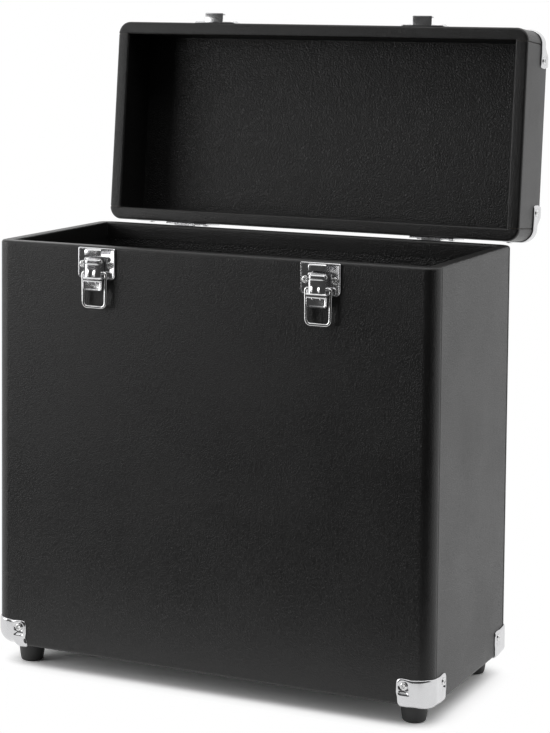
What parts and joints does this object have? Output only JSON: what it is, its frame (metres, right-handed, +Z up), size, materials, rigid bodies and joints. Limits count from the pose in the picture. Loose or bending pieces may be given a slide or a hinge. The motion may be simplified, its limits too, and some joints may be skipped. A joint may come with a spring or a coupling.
{
  "type": "record carrying case",
  "caption": "Tall carrying case for long-playing records, covered board with plated corners, a hinged lid thrown back, draw latches on the front, a folding handle and rubber feet.",
  "frame": {"origin": "on the floor under the middle of the body, in the plane of the foot tips", "axes": "+X to the right along the width, +Y to the back where the hinges are, +Z up; the latches are on the -Y side"},
  "size_m": [0.3552, 0.2522, 0.4905],
  "materials": {
    "board": "bare hardboard, hidden under the covering and the lining",
    "covering": "black pebble-grained leathercloth, low sheen",
    "lining": "black grained lining paper, matt",
    "corner_plate": "pressed steel with bright plating",
    "latch_plate": "pressed steel with bright plating",
    "bail_wire": "plated spring wire",
    "hinge_steel": "plated sheet, slightly dull",
    "screw_steel": "plated screws and pins",
    "foot_rubber": "black moulded rubber, matt",
    "handle_plastic": "black moulded grip with a fine grain"
  },
  "bodies": {
    "body": {"body_front_board": "board", "body_back_board": "board", "body_left_board": "board", "body_right_board": "board", "body_floor_board": "board", "body_front_covering": "covering", "body_back_covering": "covering", "body_left_covering": "covering", "body_right_covering": "covering", "body_floor_covering": "covering", "body_lining": "lining", "body_corner_front_left": "corner_plate", "body_corner_front_right": "corner_plate", "body_corner_back_left": "corner_plate", "body_corner_back_right": "corner_plate", "foot_front_left": "foot_rubber", "foot_front_right": "foot_rubber", "foot_back_left": "foot_rubber", "foot_back_right": "foot_rubber", "foot_screws": "screw_steel", "body_screws": "screw_steel", "left_latch_plate": "latch_plate", "right_latch_plate": "latch_plate", "lever_pins": "screw_steel", "left_body_hinge_leaf": "hinge_steel", "right_body_hinge_leaf": "hinge_steel", "hinge_pins": "screw_steel"},
    "lid": {"lid_top_board": "board", "lid_front_rail": "board", "lid_back_rail": "board", "lid_left_rail": "board", "lid_right_rail": "board", "lid_top_covering": "covering", "lid_front_covering": "covering", "lid_back_covering": "covering", "lid_left_covering": "covering", "lid_right_covering": "covering", "lid_lining": "lining", "lid_corner_front_left": "corner_plate", "lid_corner_front_right": "corner_plate", "lid_corner_back_left": "corner_plate", "lid_corner_back_right": "corner_plate", "left_catch": "latch_plate", "right_catch": "latch_plate", "left_lid_hinge_leaf": "hinge_steel", "right_lid_hinge_leaf": "hinge_steel", "left_handle_bracket": "hinge_steel", "right_handle_bracket": "hinge_steel", "handle_pins": "screw_steel", "lid_screws": "screw_steel"},
    "left_lever": {"left_latch_lever": "latch_plate"},
    "right_lever": {"right_latch_lever": "latch_plate"},
    "left_bail": {"left_bail": "bail_wire"},
    "right_bail": {"right_bail": "bail_wire"},
    "handle": {"handle": "handle_plastic"}
  },
  "joints": [
    {"name": "lid_hinge", "type": "hinge", "parent": "body", "child": "lid", "pos_m": [0, 0.0858, 0.3176], "axis": [-1, 0, 0], "range_deg": [-95.5, 0]},
    {"name": "left_lever_pivot", "type": "hinge", "parent": "body", "child": "left_lever", "pos_m": [-0.089, -0.0851, 0.311], "axis": [-1, 0, 0], "range_deg": [0, 100]},
    {"name": "right_lever_pivot", "type": "hinge", "parent": "body", "child": "right_lever", "pos_m": [0.089, -0.0851, 0.311], "axis": [-1, 0, 0], "range_deg": [0, 100]},
    {"name": "left_bail_pivot", "type": "hinge", "parent": "left_lever", "child": "left_bail", "pos_m": [-0.089, -0.0847, 0.3025], "axis": [1, 0, 0], "range_deg": [-180, 0]},
    {"name": "right_bail_pivot", "type": "hinge", "parent": "right_lever", "child": "right_bail", "pos_m": [0.089, -0.0847, 0.3025], "axis": [1, 0, 0], "range_deg": [-180, 0]},
    {"name": "handle_swing", "type": "hinge", "parent": "lid", "child": "handle", "pos_m": [0, 0.15663, 0.39698], "axis": [1, 0, 0], "range_deg": [-5.5, 174.5]}
  ]
}
